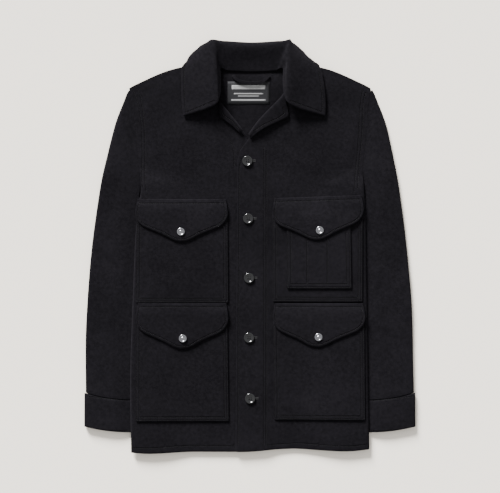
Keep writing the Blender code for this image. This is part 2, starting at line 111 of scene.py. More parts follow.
# Subdivision levels of each piece of cloth, enough for cells of 3 to 5 mm.
LEVELS = {
    "back": 2,
    "hanger_loop": 2,
    "front_right": 3,
    "front_left": 3,
    "facing_right": 2,
    "facing_left": 2,
    "collar": 2,
    "sleeve_right": 3,
    "sleeve_left": 3,
    "cuff_right": 3,
    "cuff_left": 3,
    "upper_pocket_right": 3,
    "upper_pocket_left": 3,
    "lower_pocket_right": 3,
    "lower_pocket_left": 3,
    "pencil_pocket": 3,
    "upper_flap_right": 2,
    "upper_flap_left": 2,
    "lower_flap_right": 2,
    "lower_flap_left": 2,
}

# Stitch rows that follow a piece's own edge: how far in each runs, and the height above which there is none.
EDGE_ROWS = {
    "upper_pocket_right": ((2.0, 7.2), 50.0),
    "upper_pocket_left": ((2.0, 7.2), 50.0),
    "lower_pocket_right": ((2.0, 7.2), -148.0),
    "lower_pocket_left": ((2.0, 7.2), -148.0),
    "pencil_pocket": ((2.0, 8.0), 28.0),
    "upper_flap_right": ((4.6,), 82.0),
    "upper_flap_left": ((4.6,), 85.0),
    "lower_flap_right": ((4.6,), -116.0),
    "lower_flap_left": ((4.6,), -116.0),
}

# Turned profiles, from the middle of the underside out and over the top: radius, height.
BUTTON_PROFILE = (
    (0.0, 0.0), (7.2, 0.0), (9.0, 0.35), (9.8, 1.0), (10.0, 1.7), (9.8, 2.5), (9.2, 3.1),
    (8.5, 3.3), (7.8, 3.15), (7.2, 2.7), (6.7, 2.2), (6.0, 1.95), (4.0, 1.85), (0.0, 1.8),
)
SNAP_PROFILE = (
    (0.0, 0.0), (6.8, 0.0), (7.4, 0.35), (7.6, 0.9), (7.4, 1.6), (6.9, 2.1), (6.2, 2.3), (5.5, 2.1),
    (5.0, 1.6), (4.7, 1.0), (4.2, 0.85), (3.2, 0.85), (2.7, 1.3), (2.0, 1.75), (1.0, 1.95), (0.0, 2.0),
)

# Sewing of the buttons: how far apart a button's three strands run, how high they lie, the buttonhole's first
# stitch from the button's middle, its stitches, their pitch, and how far they lie from its slit.
STRANDS = (-0.55, 0.0, 0.55)
STRAND_HEIGHT = 2.0
STRAND_THICKNESS = 0.0007
PURL_START = 7.5
PURLS = 26
PURL_PITCH = 0.33
PURL_REACH = 1.25
PURL_LENGTH = 0.0024
PURL_SLANT = (0.15, 1.0)

# Bars woven into the label: height over its middle, width, height of the bar.
LABEL_BARS = {
    "label_bar_top": (10.5, 64.0, 8.0),
    "label_bar_middle": (-1.5, 56.0, 2.2),
    "label_bar_lower": (-6.0, 40.0, 1.6),
    "label_bar_foot": (-13.5, 66.0, 2.8),
}
LABEL_RISE = 0.0006
BAR_RISE = 0.0008
LABEL_WALL = 0.0005

# Other stitch rows, by piece: the points that each one runs through.
ROWS = {
    "front_right": (
        ((-222.0, 296.0), (-216.8, 285.6), (-209.6, 258.6), (-205.6, 233.3), (-205.0, 211.0), (-204.0, 173.0),
         (-205.0, 135.0), (-203.0, 112.0)),
        ((-214.5, 300.0), (-207.3, 285.6), (-203.3, 258.6), (-200.0, 226.9), (-199.3, 195.9), (-199.3, 163.6),
         (-199.5, 129.4), (-196.5, 104.0)),
        ((-222.0, -383.5), (-188.0, -384.5), (-120.0, -380.0), (0.0, -380.5)),
        ((-37.0, 201.0), (-31.5, 186.0), (-29.5, 172.0), (-29.5, 150.0)),
    ),
    "front_left": (
        ((221.0, 292.0), (217.0, 279.5), (215.3, 258.6), (214.9, 230.1), (212.0, 192.0), (208.0, 154.1),
         (206.0, 121.8), (205.0, 108.0)),
        ((214.9, 296.0), (212.0, 277.6), (209.2, 249.1), (208.2, 220.6), (205.4, 182.6), (202.0, 144.6),
         (200.0, 116.1), (198.0, 102.0)),
        ((26.8, 186.0), (26.8, -380.0)),
        ((31.8, 184.0), (31.8, -380.0)),
        ((-14.5, 168.0), (-19.5, 150.0), (-20.2, 60.0), (-21.4, -120.0), (-21.6, -379.0)),
        ((34.0, -378.8), (90.0, -375.2), (135.0, -378.4), (188.0, -381.0), (223.0, -377.5)),
    ),
    "upper_flap_right": (
        ((-210.0, 80.6), (-130.0, 80.9), (-50.0, 81.4)),
    ),
    "upper_flap_left": (
        ((46.0, 83.6), (126.0, 86.2), (209.0, 88.6)),
    ),
    "lower_flap_right": (
        ((-209.0, -115.6), (-48.0, -115.6)),
    ),
    "lower_flap_left": (
        ((49.0, -115.6), (212.0, -115.6)),
    ),
    "pencil_pocket": (
        ((147.2, 34.0), (147.2, -71.0)),
        ((108.5, 34.0), (108.5, -71.0)),
    ),
    "collar": (
        ((-123.0, 346.0), (-124.0, 327.0), (-124.0, 298.0), (-123.0, 270.0), (-120.6, 254.0), (-118.0, 254.5),
         (-66.0, 274.5)),
        ((127.0, 344.0), (131.4, 327.0), (136.4, 298.0), (138.2, 270.0), (137.4, 254.0), (134.5, 254.6),
         (77.0, 274.5)),
    ),
    "facing_left": (
        ((62.5, 262.0), (66.5, 251.5), (55.5, 243.5), (39.0, 235.8), (23.0, 228.0), (9.0, 219.0)),
    ),
    "facing_right": (
        ((-53.0, 252.0), (-44.0, 243.5), (-31.0, 235.0), (-20.0, 221.0)),
    ),
    "cuff_right": (
        ((-311.0, -285.5), (-232.0, -295.0)),
        ((-311.0, -347.0), (-300.0, -350.5), (-232.0, -352.0)),
    ),
    "cuff_left": (
        ((311.0, -285.5), (232.0, -295.0)),
        ((311.0, -347.0), (300.0, -350.5), (232.0, -352.0)),
    ),
}

# The armhole's edge on each side: heights, and distance out from the centre line.
ARMHOLE_Y = (103.0, 124.0, 143.0, 174.0, 202.0, 235.0, 262.0, 300.0)
ARMHOLE_X = {
    -1.0: (206.6, 207.3, 210.3, 212.6, 215.5, 218.0, 221.0, 230.0),
    1.0: (217.0, 215.0, 214.4, 217.3, 220.9, 224.0, 225.2, 231.0),
}

# Ripples of the cloth: height, waves to a metre across and up the jacket, and where the wave starts.
RIPPLES = (
    (0.42, 9.0, 5.5, 0.4),
    (0.36, -6.0, 10.5, 1.9),
    (0.24, 16.0, -4.0, 0.0),
    (0.18, 4.0, 21.0, 2.6),
)

# Soft ridges in the cloth: one end, other end, half width and height.
RIDGES = (
    ((-196.0, 262.0), (-178.0, 176.0), 9.0, 0.9),
    ((-205.0, 140.0), (-165.0, 112.0), 8.0, 0.7),
    ((205.0, 244.0), (186.0, 160.0), 9.0, 0.9),
    ((202.0, 140.0), (160.0, 116.0), 8.0, 0.7),
    ((-262.0, 150.0), (-244.0, 60.0), 12.0, 1.0),
    ((262.0, 150.0), (246.0, 64.0), 12.0, 1.0),
    ((-296.0, -40.0), (-250.0, -96.0), 12.0, 0.8),
    ((298.0, -60.0), (248.0, -120.0), 12.0, 0.8),
    ((40.0, 196.0), (120.0, 150.0), 12.0, 0.6),
    ((-60.0, 190.0), (-130.0, 150.0), 12.0, 0.5),
)
FLAT_BELOW = 0.5
FREE_ABOVE = 4.0

# How far sewn edges are drawn together: a sleeve's seam, more at its head, and the back at the collar's stand.
SLEEVE_DRAW = 1.3
HEAD_DRAW = 1.2
HEAD_LIFT = 7.0
HEAD_FROM = (250.0, 292.0)
HEAD_REACH = 22.0
SEAM_REACH = 9.0
SEAM_FROM = (100.0, 125.0)
NECK_HALF = (66.0, 52.0)
NECK_FROM = (312.0, 328.0)
NECK_RIM = (326.0, 331.0)
NECK_LIFT = 7.0
NECK_SINK = 1.6

# Each finished piece of cloth and its rows of stitches, by node.
CLOTH = {}


def ease(start, end, value):
    """Smooth step: 0 at start, 1 at end."""
    share = np.clip((value - start) / (end - start), 0.0, 1.0)
    return share * share * (3.0 - 2.0 * share)


class WoolLook(bpy.types.PropertyGroup):
    """Finish of the napped wool."""
    dark: FloatVectorProperty(
        name="Dark fibres", description="Colour of the darker fibres of the cloth",
        default=(0.0022, 0.0020, 0.0026), size=3, min=0.0, max=1.0, subtype="COLOR")
    light: FloatVectorProperty(
        name="Light fibres", description="Colour of the paler fibres of the cloth",
        default=(0.0068, 0.0062, 0.0077), size=3, min=0.0, max=1.0, subtype="COLOR")
    fibre_scale: FloatProperty(
        name="Fibre pattern", description="Repeats of the fibre pattern to a metre", default=900.0, min=1.0)
    mottle_scale: FloatProperty(
        name="Mottling", description="Repeats of the cloudy mottling to a metre", default=170.0, min=1.0)
    nap: FloatProperty(
        name="Nap", description="Height of the raised nap", default=0.00035, min=0.0, subtype="DISTANCE")
    groove: FloatProperty(
        name="Seam groove", description="Depth that a row of stitches pulls into the cloth",
        default=0.0007, min=0.0, subtype="DISTANCE")
    groove_width: FloatProperty(
        name="Groove width", description="Half width of the groove along a row of stitches",
        default=0.0011, min=0.0001, subtype="DISTANCE")


class ThreadLook(bpy.types.PropertyGroup):
    """Sewing thread and how it is stitched."""
    colour: FloatVectorProperty(
        name="Thread", description="Colour of the thread", default=(0.006, 0.0058, 0.0065),
        size=3, min=0.0, max=1.0, subtype="COLOR")
    stitch: FloatProperty(
        name="Stitch", description="Length of one stitch on the cloth", default=0.0026, min=0.0005,
        subtype="DISTANCE")
    pitch: FloatProperty(
        name="Pitch", description="From one stitch to the next", default=0.0033, min=0.0005,
        subtype="DISTANCE")
    thickness: FloatProperty(
        name="Thickness", description="Thickness of the thread", default=0.0006, min=0.0001,
        subtype="DISTANCE")


class ButtonLook(bpy.types.PropertyGroup):
    """Buttons and the snap caps."""
    colour: FloatVectorProperty(
        name="Button", description="Colour of the buttons", default=(0.004, 0.004, 0.0045), size=3, min=0.0,
        max=1.0, subtype="COLOR")
    hole: FloatProperty(
        name="Hole", description="Radius of a thread hole", default=0.0011, min=0.0002, subtype="DISTANCE")
    hole_spread: FloatProperty(
        name="Hole spread", description="From the button's middle line to its holes", default=0.0019,
        min=0.0005, subtype="DISTANCE")
    nickel: FloatVectorProperty(
        name="Snap", description="Colour of the snap caps' plated metal", default=(0.32, 0.32, 0.34), size=3,
        min=0.0, max=1.0, subtype="COLOR")
    facets: IntProperty(
        name="Facets", description="Steps round a turned piece", default=48, min=12)


class LabelLook(bpy.types.PropertyGroup):
    """Neck label."""
    cloth: FloatVectorProperty(
        name="Label cloth", description="Colour of the label's woven ground", default=(0.016, 0.016, 0.018),
        size=3, min=0.0, max=1.0, subtype="COLOR")
    bars: FloatVectorProperty(
        name="Label bars", description="Colour of the bars woven into the label", default=(0.30, 0.30, 0.30),
        size=3, min=0.0, max=1.0, subtype="COLOR")
    width: FloatProperty(
        name="Width", description="Width of the label", default=0.080, min=0.01, subtype="DISTANCE")
    height: FloatProperty(
        name="Height", description="Height of the label", default=0.043, min=0.01, subtype="DISTANCE")


class StageLook(bpy.types.PropertyGroup):
    """Floor, light and camera."""
    floor: FloatVectorProperty(
        name="Floor", description="Colour of the floor", default=(0.92, 0.86, 0.765), size=3, min=0.0,
        max=1.0, subtype="COLOR")
    fill: FloatProperty(
        name="Fill", description="Strength of the even light all round", default=0.90, min=0.0)
    key: FloatProperty(
        name="Key", description="Strength of the light that casts the shadows", default=17.0, min=0.0)
    key_height: FloatProperty(
        name="Key height", description="Angle of the key light over the floor", default=math.radians(22.0),
        min=0.0, max=math.pi / 2, subtype="ANGLE")
    key_turn: FloatProperty(
        name="Key turn", description="Angle of the key light from the top towards the wearer's right",
        default=math.radians(23.0), subtype="ANGLE")
    key_spread: FloatProperty(
        name="Key spread", description="Angle that the key light fills, which softens its shadows",
        default=math.radians(20.0), min=0.0, max=math.pi, subtype="ANGLE")
    camera_height: FloatProperty(
        name="Camera height", description="Height of the camera over the floor", default=2.8, min=0.5,
        unit="LENGTH")
    view_width: FloatProperty(
        name="View width", description="Width that the camera sees at the height of the cloth",
        default=0.950, min=0.1, unit="LENGTH")


def add_node(tree, kind, settings=None, **sockets):
    """A shader node with its settings and its sockets' values; a value that is a socket is linked."""
    node = tree.nodes.new(kind)
    for name, value in (settings or {}).items():
        setattr(node, name, value)
    for name, value in sockets.items():
        socket = node.inputs[int(name[1:])] if name[1:].isdigit() else node.inputs[name.replace("_", " ")]
        if isinstance(value, bpy.types.NodeSocket):
            tree.links.new(value, socket)
        else:
            socket.default_value = value
    return node


def blank_material(name):
    """A new material with its node tree, its Principled shader and its object coordinates."""
    material = bpy.data.materials.new(name)
    material.use_nodes = True
    tree = material.node_tree
    shader = tree.nodes["Principled BSDF"]
    place = tree.nodes.new("ShaderNodeTexCoord").outputs["Object"]
    return material, tree, shader, place


def wool_material():
    """Napped wool: cloudy mottling, fine fibres, raised nap, and a groove along each row of stitches, darkened
    by painted shade.
    """
    known = bpy.data.materials.get("napped_wool")
    if known:
        return known
    look = bpy.context.scene.jacket_wool
    material, tree, shader, place = blank_material("napped_wool")
    clouds = add_node(tree, "ShaderNodeTexNoise", Vector=place, Scale=look.mottle_scale, Detail=3.0,
                      Roughness=0.6)
    fibres = add_node(tree, "ShaderNodeTexNoise", Vector=place, Scale=look.fibre_scale, Detail=4.0,
                      Roughness=0.7)
    drift = add_node(tree, "ShaderNodeTexNoise", Vector=place, Scale=9.0, Detail=2.0, Roughness=0.5)
    blend = add_node(tree, "ShaderNodeMath", {"operation": "MULTIPLY_ADD"}, _0=clouds.outputs["Fac"], _1=0.45,
                     _2=0.0)
    blend = add_node(tree, "ShaderNodeMath", {"operation": "MULTIPLY_ADD"}, _0=fibres.outputs["Fac"], _1=0.75,
                     _2=blend.outputs[0])
    blend = add_node(tree, "ShaderNodeMath", {"operation": "MULTIPLY_ADD"}, _0=drift.outputs["Fac"], _1=0.25,
                     _2=blend.outputs[0])
    tone = add_node(tree, "ShaderNodeMapRange", {"interpolation_type": "SMOOTHSTEP"}, Value=blend.outputs[0])
    tone.inputs["From Min"].default_value = 0.52
    tone.inputs["From Max"].default_value = 0.92
    cloth = add_node(tree, "ShaderNodeMix", {"data_type": "RGBA"}, Factor=tone.outputs["Result"])
    cloth.inputs[6].default_value = (*look.dark, 1.0)
    cloth.inputs[7].default_value = (*look.light, 1.0)
    groove = groove_nodes(tree, look)
    # Painted shade: the cloth's colour darkens along each row of stitches, where the groove lies.
    painted_groove_shade = add_node(tree, "ShaderNodeMix", {"data_type": "RGBA"})
    tree.links.new(add_node(tree, "ShaderNodeMath", {"operation": "MULTIPLY"}, _0=groove, _1=0.45).outputs[0],
                   painted_groove_shade.inputs["Factor"])
    tree.links.new(cloth.outputs[2], painted_groove_shade.inputs[6])
    painted_groove_shade.inputs[7].default_value = (*[c * 0.4 for c in look.dark], 1.0)
    tree.links.new(painted_groove_shade.outputs[2], shader.inputs["Base Color"])
    nap = add_node(tree, "ShaderNodeBump", Height=fibres.outputs["Fac"], Distance=look.nap, Strength=1.0)
    pulled = add_node(tree, "ShaderNodeBump", {"invert": True}, Height=groove, Distance=look.groove,
                      Strength=1.0)
    tree.links.new(pulled.outputs["Normal"], nap.inputs["Normal"])
    tree.links.new(nap.outputs["Normal"], shader.inputs["Normal"])
    shader.inputs["Roughness"].default_value = 0.95
    shader.inputs["Specular IOR Level"].default_value = 0.03
    shader.inputs["Sheen Weight"].default_value = 0.02
    shader.inputs["Sheen Roughness"].default_value = 0.5
    shader.inputs["Sheen Tint"].default_value = (0.85, 0.80, 0.92, 1.0)
    return material


def groove_nodes(tree, look):
    """1 on a row of stitches, fading to 0 beside it, from the distance that the cloth's vertices carry."""
    away = add_node(tree, "ShaderNodeAttribute", {"attribute_name": "seam"}).outputs["Fac"]
    depth = add_node(tree, "ShaderNodeAttribute", {"attribute_name": "seam_depth"}).outputs["Fac"]
    square = add_node(tree, "ShaderNodeMath", {"operation": "MULTIPLY"}, _0=away, _1=away)
    fall = add_node(tree, "ShaderNodeMath", {"operation": "DIVIDE"}, _0=square.outputs[0],
                    _1=-look.groove_width ** 2)
    bell = add_node(tree, "ShaderNodeMath", {"operation": "EXPONENT"}, _0=fall.outputs[0])
    depression = add_node(tree, "ShaderNodeMath", {"operation": "MULTIPLY"}, _0=bell.outputs[0], _1=depth)
    return depression.outputs[0]


def thread_material():
    """Twisted sewing thread, a little shinier than the wool."""
    known = bpy.data.materials.get("sewing_thread")
    if known:
        return known
    look = bpy.context.scene.jacket_thread
    material, tree, shader, place = blank_material("sewing_thread")
    twist = add_node(tree, "ShaderNodeTexWave", Vector=place, Scale=1800.0, Distortion=2.0, Detail=1.0)
    shade = add_node(tree, "ShaderNodeMix", {"data_type": "RGBA"}, Factor=twist.outputs["Fac"])
    shade.inputs[6].default_value = (*look.colour, 1.0)
    shade.inputs[7].default_value = (*[c * 1.7 for c in look.colour], 1.0)
    tree.links.new(shade.outputs[2], shader.inputs["Base Color"])
    relief = add_node(tree, "ShaderNodeBump", Height=twist.outputs["Fac"], Distance=0.0001, Strength=0.6)
    tree.links.new(relief.outputs["Normal"], shader.inputs["Normal"])
    shader.inputs["Roughness"].default_value = 0.6
    shader.inputs["Specular IOR Level"].default_value = 0.2
    return material


def plastic_material():
    """Polished black button plastic with faint cloudiness."""
    look = bpy.context.scene.jacket_buttons
    material, tree, shader, place = blank_material("button_plastic")
    clouds = add_node(tree, "ShaderNodeTexNoise", Vector=place, Scale=420.0, Detail=3.0)
    shade = add_node(tree, "ShaderNodeMix", {"data_type": "RGBA"}, Factor=clouds.outputs["Fac"])
    shade.inputs[6].default_value = (*look.colour, 1.0)
    shade.inputs[7].default_value = (*[c * 1.6 for c in look.colour], 1.0)
    tree.links.new(shade.outputs[2], shader.inputs["Base Color"])
    wear = add_node(tree, "ShaderNodeMapRange", Value=clouds.outputs["Fac"])
    wear.inputs["To Min"].default_value = 0.10
    wear.inputs["To Max"].default_value = 0.22
    tree.links.new(wear.outputs["Result"], shader.inputs["Roughness"])
    shader.inputs["Specular IOR Level"].default_value = 0.55
    return material


def nickel_material():
    """Dark plated metal with fine polishing marks."""
    look = bpy.context.scene.jacket_buttons
    material, tree, shader, place = blank_material("dark_nickel")
    marks = add_node(tree, "ShaderNodeTexNoise", Vector=place, Scale=2400.0, Detail=4.0, Roughness=0.7)
    shade = add_node(tree, "ShaderNodeMix", {"data_type": "RGBA"}, Factor=marks.outputs["Fac"])
    shade.inputs[6].default_value = (*[c * 0.8 for c in look.nickel], 1.0)
    shade.inputs[7].default_value = (*look.nickel, 1.0)
    tree.links.new(shade.outputs[2], shader.inputs["Base Color"])
    wear = add_node(tree, "ShaderNodeMapRange", Value=marks.outputs["Fac"])
    wear.inputs["To Min"].default_value = 0.12
    wear.inputs["To Max"].default_value = 0.30
    tree.links.new(wear.outputs["Result"], shader.inputs["Roughness"])
    shader.inputs["Metallic"].default_value = 1.0
    return material


def label_material(name, colour, scale):
    """Satin-woven label cloth: fine threads across."""
    material, tree, shader, place = blank_material(name)
    weave = add_node(tree, "ShaderNodeTexWave", {"bands_direction": "Y"}, Vector=place, Scale=scale,
                     Distortion=1.5, Detail=2.0)
    shade = add_node(tree, "ShaderNodeMix", {"data_type": "RGBA"}, Factor=weave.outputs["Fac"])
    shade.inputs[6].default_value = (*[c * 0.6 for c in colour], 1.0)
    shade.inputs[7].default_value = (*colour, 1.0)
    tree.links.new(shade.outputs[2], shader.inputs["Base Color"])
    relief = add_node(tree, "ShaderNodeBump", Height=weave.outputs["Fac"], Distance=0.0001, Strength=0.7)
    tree.links.new(relief.outputs["Normal"], shader.inputs["Normal"])
    shader.inputs["Roughness"].default_value = 0.7
    shader.inputs["Specular IOR Level"].default_value = 0.2
    return material


def new_object(name, work, material, smooth=True):
    """Put a bmesh into the scene as an object at the origin."""
    mesh = bpy.data.meshes.new(name)
    work.to_mesh(mesh)
    work.free()
    mesh.materials.append(material)
    piece = bpy.data.objects.new(name, mesh)
    bpy.context.scene.collection.objects.link(piece)
    if smooth:
        mesh.shade_smooth()
    return piece


def solid_copy(node):
    """A CAD node's solid with its doubles merged and its triangles joined back to quads."""
    work = bmesh.new()
    work.from_mesh(frame["nodes"][node].data)
    bmesh.ops.remove_doubles(work, verts=work.verts, dist=MERGE)
    bmesh.ops.join_triangles(work, faces=work.faces, angle_face_threshold=JOIN_ANGLE,
                             angle_shape_threshold=math.radians(75.0))
    return work


def cloth_copy(node, levels, crease=0.55):
    """A CAD solid subdivided to a smooth cloth shell, with its folded edges a little rounded."""
    work = solid_copy(node)
    layer = work.edges.layers.float.new("crease_edge")
    for edge in work.edges:
        if edge.calc_face_angle(0.0) > RIM_ANGLE:
            edge[layer] = crease
    piece = new_object(node + "_cloth", work, wool_material())
    finer = piece.modifiers.new("Finer", "SUBSURF")
    finer.levels = levels
    finer.render_levels = levels
    baked = bpy.data.meshes.new_from_object(piece.evaluated_get(bpy.context.evaluated_depsgraph_get()))
    piece.modifiers.clear()
    piece.data = baked
    baked.name = node + "_cloth"
    return piece


def points_of(piece):
    """The piece's vertices, in millimetres."""
    flat = np.empty(len(piece.data.vertices) * 3, np.float32)
    piece.data.vertices.foreach_get("co", flat)
    return flat.reshape(-1, 3).astype(float) / MM


def move_points(piece, points):
    """Put the piece's vertices at the given points, in millimetres."""
    piece.data.vertices.foreach_set("co", (points * MM).astype(np.float32).ravel())
    piece.data.update()


def rise(points):
    """Height that ripples and ridges add at each point; cloth that lies on the floor stays there."""
    x, y = points[:, 0], points[:, 1]
    height = np.zeros(len(points))
    for size, across, up, start in RIPPLES:
        wave = np.sin(2 * math.pi * MM * (across * x + up * y) + start)
        height += size * (1.0 + wave) / 2
    for start, end, wide, size in RIDGES:
        away = segment_distance(points[:, :2], np.array(start), np.array(end))
        height += size * np.exp(-(away / wide) ** 2)
    return height * ease(FLAT_BELOW, FREE_ABOVE, points[:, 2])


def outline(node):
    """The outline of a flat piece seen from above, once round, in millimetres."""
    work = solid_copy(node)
    upper = {face for face in work.faces if face.normal.z > 0.5}
    following = {}
    for face in upper:
        for loop in face.loops:
            if sum(other in upper for other in loop.edge.link_faces) == 1:
                following[loop.vert] = loop.link_loop_next.vert
    first = next(iter(following))
    loop, vertex = [first], following[first]
    while vertex is not first and vertex in following:
        loop.append(vertex)
        vertex = following[vertex]
    path = np.array([vertex.co.to_2d() for vertex in loop]) / MM
    work.free()
    return path


def inset_path(path, distance):
    """A closed path moved inwards; the path runs anticlockwise."""
    ahead = np.roll(path, -1, 0) - path
    ahead /= np.linalg.norm(ahead, axis=1)[:, None]
    behind = np.roll(ahead, 1, 0)
    inward = np.stack((-(ahead + behind)[:, 1], (ahead + behind)[:, 0]), 1)
    inward /= np.linalg.norm(inward, axis=1)[:, None]
    mitre = np.clip(inward[:, 0] * -ahead[:, 1] + inward[:, 1] * ahead[:, 0], 0.5, 1.0)
    return path + inward * (distance / mitre)[:, None]


def edge_row(node, distance, top):
    """A row of stitches inside a piece's edge, open above the given height."""
    path = outline(node)
    row = inset_path(path, distance)
    low = row[:, 1] < top
    start = next(k for k in range(len(row)) if low[k] and not low[k - 1])
    order = [(start + k) % len(row) for k in range(len(row))]
    kept = [row[k] for k in order if low[k]]
    first, last = kept[0], kept[-1]
    return np.array([(first[0], top)] + kept + [(last[0], top)])


def rows_of(node):
    """All rows of stitches of a piece, each as an array of points."""
    rows = []
    if node in EDGE_ROWS:
        distances, top = EDGE_ROWS[node]
        rows += [edge_row(node, distance, top) for distance in distances]
    rows += [np.array(row) for row in ROWS.get(node, ())]
    return rows


def segment_distance(points, start, end):
    """Distance of each point from a stretch of a row, in plan."""
    along = end - start
    share = np.clip(((points - start) @ along) / max(along @ along, 1e-9), 0.0, 1.0)
    return np.linalg.norm(points - start - share[:, None] * along, axis=1)


def closed_round(row):
    """The row as a closed outline that leaves the piece at its ends and returns far outside it."""
    first = row[0] + (row[0] - row[1]) / np.linalg.norm(row[0] - row[1]) * FAR
    last = row[-1] + (row[-1] - row[-2]) / np.linalg.norm(row[-1] - row[-2]) * FAR
    chord = last - first
    across = np.array((-chord[1], chord[0])) / max(np.linalg.norm(chord), 1e-9)
    middle = (first + last) / 2
    if (row.mean(0) - middle) @ across > 0:
        across = -across
    return np.vstack((first, row, last, middle + across * 10.0 * FAR))


def inside(points, edge):
    """Whether each point is inside a closed outline, in plan."""
    count = np.zeros(len(points), int)
    for (x0, y0), (x1, y1) in zip(edge, np.roll(edge, -1, 0)):
        if y0 == y1:
            continue
        crosses = (points[:, 1] >= min(y0, y1)) & (points[:, 1] < max(y0, y1))
        at = x0 + (points[:, 1] - y0) * (x1 - x0) / (y1 - y0)
        count += crosses & (at > points[:, 0])
    return count % 2 == 1


def mark_rows(piece, rows):
    """Write each vertex's distance from the nearest row of stitches, negative on one side of every row."""
    points = points_of(piece)[:, :2]
    nearest = np.full(len(points), NO_SEAM / MM)
    real = np.zeros(len(points))
    sign = np.ones(len(points))
    for row in rows:
        closed = closed_round(row)
        sign = np.where(inside(points, closed), -sign, sign)
        for k in range(len(closed) - 2):
            away = segment_distance(points, closed[k], closed[k + 1])
            true_row = 0 < k < len(closed) - 3
            closer = away < nearest
            nearest = np.where(closer, away, nearest)
            real = np.where(closer, float(true_row), real)
    for name, values in (("seam", nearest * sign * MM), ("seam_depth", real)):
        layer = piece.data.attributes.new(name, "FLOAT", "POINT")
        layer.data.foreach_set("value", values.astype(np.float32))


def surface_of(piece):
    """A tree to find the piece's upper surface from above."""
    points = [vertex.co for vertex in piece.data.vertices]
    return BVHTree.FromPolygons(points, [polygon.vertices for polygon in piece.data.polygons])


def drop_on(tree, x, y):
    """The surface's point and normal under a place given in millimetres, or None."""
    spot, normal, _, _ = tree.ray_cast(Vector((x * MM, y * MM, ABOVE)), Vector((0.0, 0.0, -1.0)))
    return (spot, normal) if spot is not None else None


def walk(row, pitch):
    """Places and directions at even steps along a row."""
    steps = np.linalg.norm(np.diff(row, axis=0), axis=1)
    total = steps.sum()
    reach = np.concatenate(((0.0,), np.cumsum(steps)))
    count = max(1, int(total / pitch))
    out = []
    for k in range(count):
        at = (k + 0.5) * total / count
        piece = min(int(np.searchsorted(reach, at)) - 1, len(steps) - 1)
        share = (at - reach[piece]) / max(steps[piece], 1e-9)
        spot = row[piece] + (row[piece + 1] - row[piece]) * share
        out.append((spot, (row[piece + 1] - row[piece]) / max(steps[piece], 1e-9)))
    return out


def stitch_place(spot, normal, direction, length, thickness):
    """Where one stitch lies: along its row, half bedded in the cloth."""
    ahead = Vector((direction[0], direction[1], 0.0))
    ahead = (ahead - normal * ahead.dot(normal)).normalized()
    turn = Matrix((ahead, normal.cross(ahead), normal)).transposed().to_4x4()
    size = Matrix.Diagonal((length / 2, thickness / 2, thickness / 2, 1.0))
    return Matrix.Translation(spot + normal * thickness * 0.15) @ turn @ size


def repeat(name, work, places, material):
    """One object that holds a copy of a small shape at every place; the shape's own mesh is freed."""
    shape = np.array([(*vertex.co, 1.0) for vertex in work.verts])
    faces = [[vertex.index for vertex in face.verts] for face in work.faces]
    work.free()
    points = np.concatenate([(shape @ np.array(place).T)[:, :3] for place in places])
    mesh = bpy.data.meshes.new(name)
    faces = [[k + n * len(shape) for k in face] for n in range(len(places)) for face in faces]
    mesh.from_pydata(points, [], faces)
    mesh.materials.append(material)
    mesh.shade_smooth()
    piece = bpy.data.objects.new(name, mesh)
    bpy.context.scene.collection.objects.link(piece)
    return piece


def bead():
    """A small long ball with its poles along X, the shape of one stitch."""
    work = bmesh.new()
    bmesh.ops.create_uvsphere(work, u_segments=6, v_segments=4, radius=1.0,
                              matrix=Matrix.Rotation(math.pi / 2, 4, "Y"))
    return work


def sew(name, pieces):
    """All rows of the given pieces as one object of separate stitches."""
    look = bpy.context.scene.jacket_thread
    places = []
    for piece, rows in pieces:
        tree = surface_of(piece)
        for row in rows:
            for spot, direction in walk(row, look.pitch / MM):
                found = drop_on(tree, *spot)
                if found:
                    places.append(stitch_place(*found, direction, look.stitch, look.thickness))
    thread = repeat(name, bead(), places, thread_material())
    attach(thread, ROOT)
    return thread


def close_gaps(node, points):
    """Let sewn edges meet: sleeve heads reach the armhole and shoulder, the back reaches the collar."""
    x, y = points[:, 0], points[:, 1]
    if node.startswith("sleeve"):
        head = ease(*HEAD_FROM, y)
        side = math.copysign(1.0, x.mean())
        body = np.interp(y, ARMHOLE_Y, ARMHOLE_X[side])
        near = ease(SEAM_REACH, 0.0, np.abs(x) - body) * ease(*SEAM_FROM, y)
        points[:, 0] -= side * near * (SLEEVE_DRAW + HEAD_DRAW * head)
        points[:, 1] += HEAD_LIFT * head * ease(HEAD_REACH, 0.0, np.abs(x) - body)
    if node == "back":
        neck = ease(*NECK_HALF, np.abs(x)) * ease(*NECK_FROM, y)
        points[:, 1] += NECK_LIFT * neck
        points[:, 2] -= NECK_SINK * neck * ease(*NECK_RIM, y)


def smooth_turn(piece):
    """Ease the collar's leaf where it turns under beside the shoulder seams."""
    work = bmesh.new()
    work.from_mesh(piece.data)
    turn = [vertex for vertex in work.verts
            if abs(vertex.co.x - TURN_CENTRE.x) > TURN_REACH and vertex.co.y > TURN_CENTRE.y]
    for _ in range(TURN_PASSES):
        bmesh.ops.smooth_vert(work, verts=turn, factor=0.5, use_axis_x=True, use_axis_y=True, use_axis_z=True)
    work.to_mesh(piece.data)
    work.free()


def dress(node):
    """Make a node's cloth, mark its rows of stitches and put it in the node's place."""
    piece = cloth_copy(node, LEVELS[node])
    if node == "collar":
        smooth_turn(piece)
    points = points_of(piece)
    close_gaps(node, points)
    points[:, 2] += rise(points)
    move_points(piece, points)
    rows = rows_of(node)
    mark_rows(piece, rows)
    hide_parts(node)
    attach(piece, ROOT)
    CLOTH[node] = (piece, rows)
    return piece


class JACKET_OT_panels(bpy.types.Operator):
    """Back, both fronts and the turned-back ends of their facings"""
    bl_idname = "jacket.panels"
    bl_label = "Panels"

    def execute(self, context):
        names = ("back", "front_right", "front_left", "facing_right", "facing_left")
        for name in names:
            dress(name)
        sew("panel_stitching", [CLOTH[name] for name in names])
        return {"FINISHED"}


